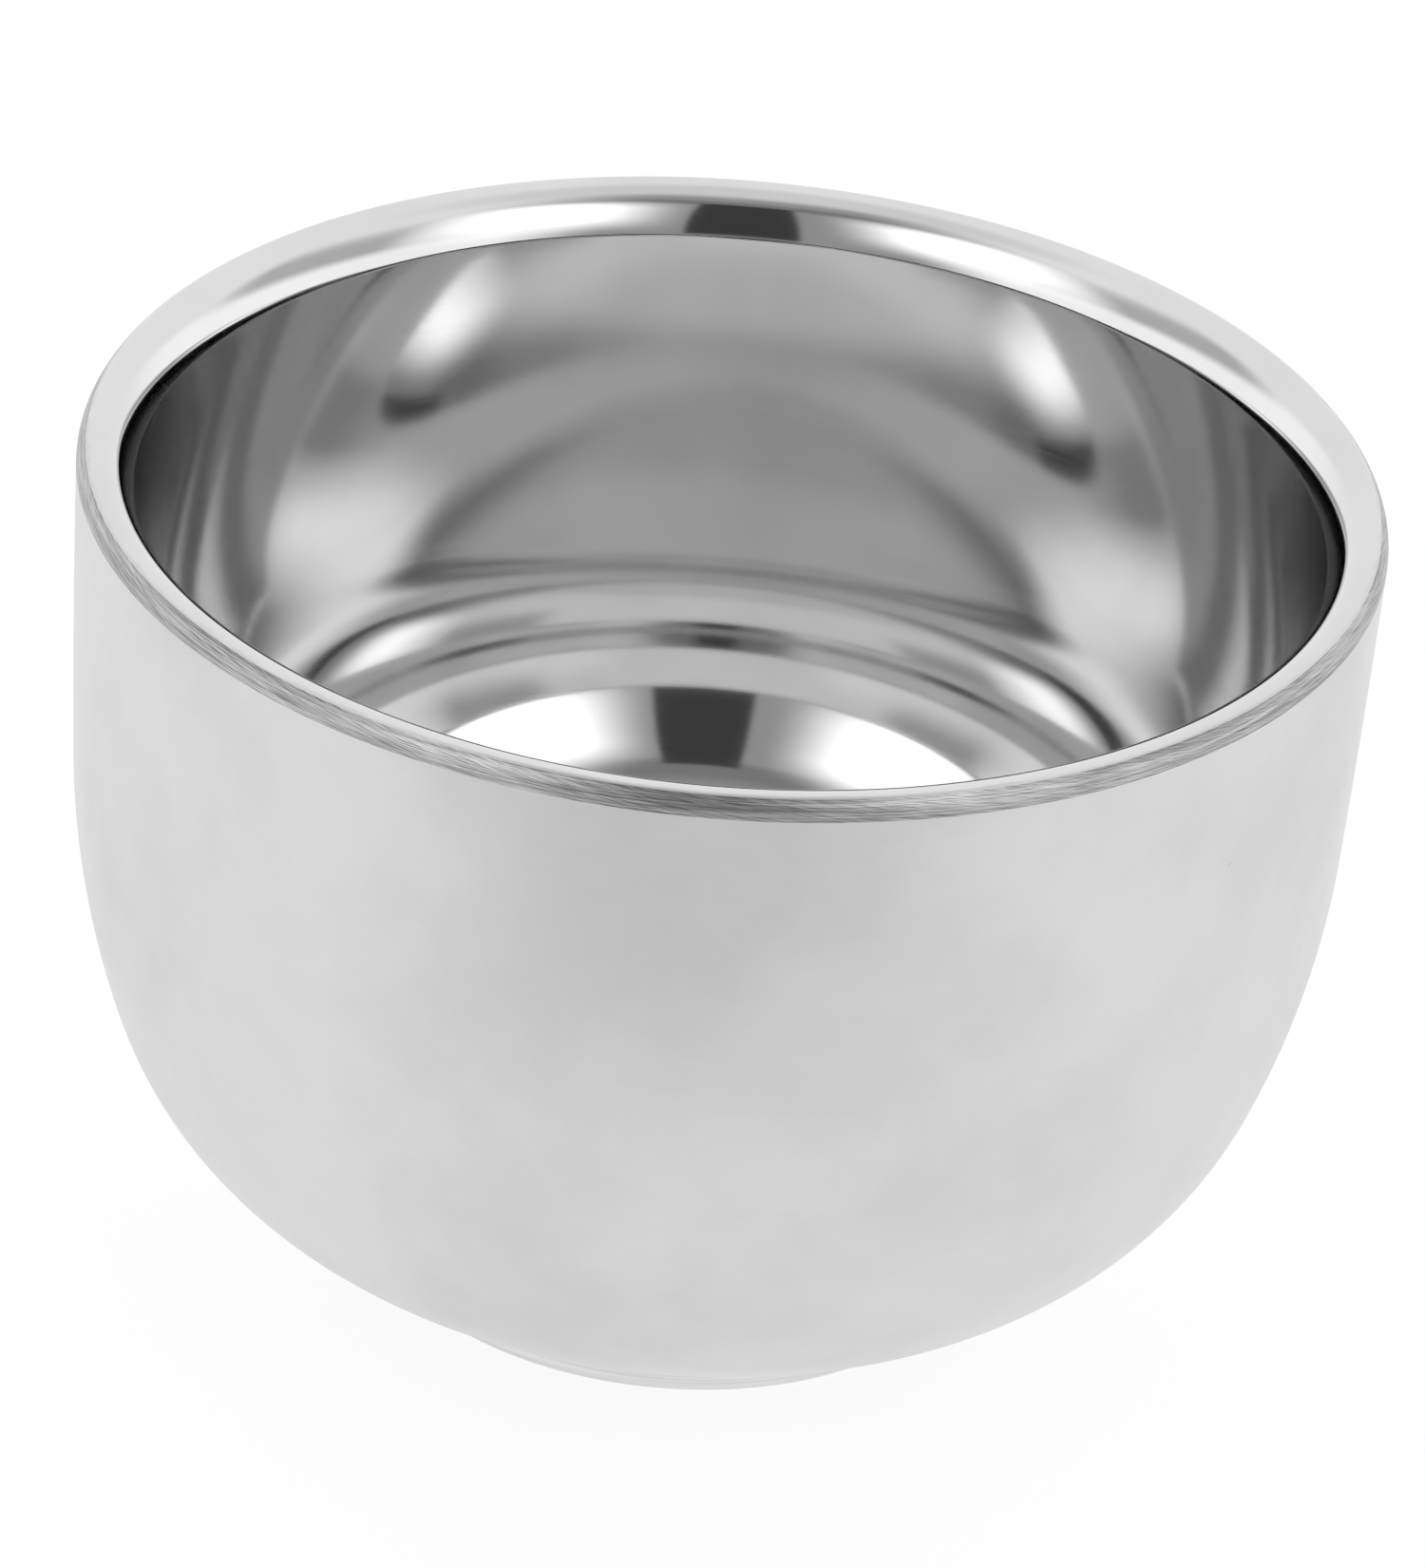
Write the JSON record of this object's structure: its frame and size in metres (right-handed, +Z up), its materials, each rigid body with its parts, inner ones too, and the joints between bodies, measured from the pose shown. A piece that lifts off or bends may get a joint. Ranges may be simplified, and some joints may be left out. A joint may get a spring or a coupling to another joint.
{
  "type": "shaving bowl",
  "caption": "Deep round double-wall steel bowl with a rolled lip, mirror-bright inside, satin outside, on a low foot ring; for whipping shaving lather.",
  "frame": {"origin": "centre of the foot ring's flat resting face", "axes": "+Z up along the bowl's axis, out of its mouth; X and Y free, as the bowl is round"},
  "size_m": [0.098, 0.098, 0.066],
  "materials": {
    "mirror_steel": "mirror-polished stainless steel",
    "satin_steel": "satin stainless steel, faint spin lines",
    "ground_steel": "weld ground flush, fine scratches along the rim",
    "foot_steel": "satin stainless steel",
    "weld_steel": "fine welded bead, left as laid"
  },
  "bodies": {
    "root": {"inner_bowl": "mirror_steel", "outer_bowl": "satin_steel", "rim_weld": "ground_steel", "foot_ring": "foot_steel", "foot_weld": "weld_steel"}
  },
  "joints": []
}
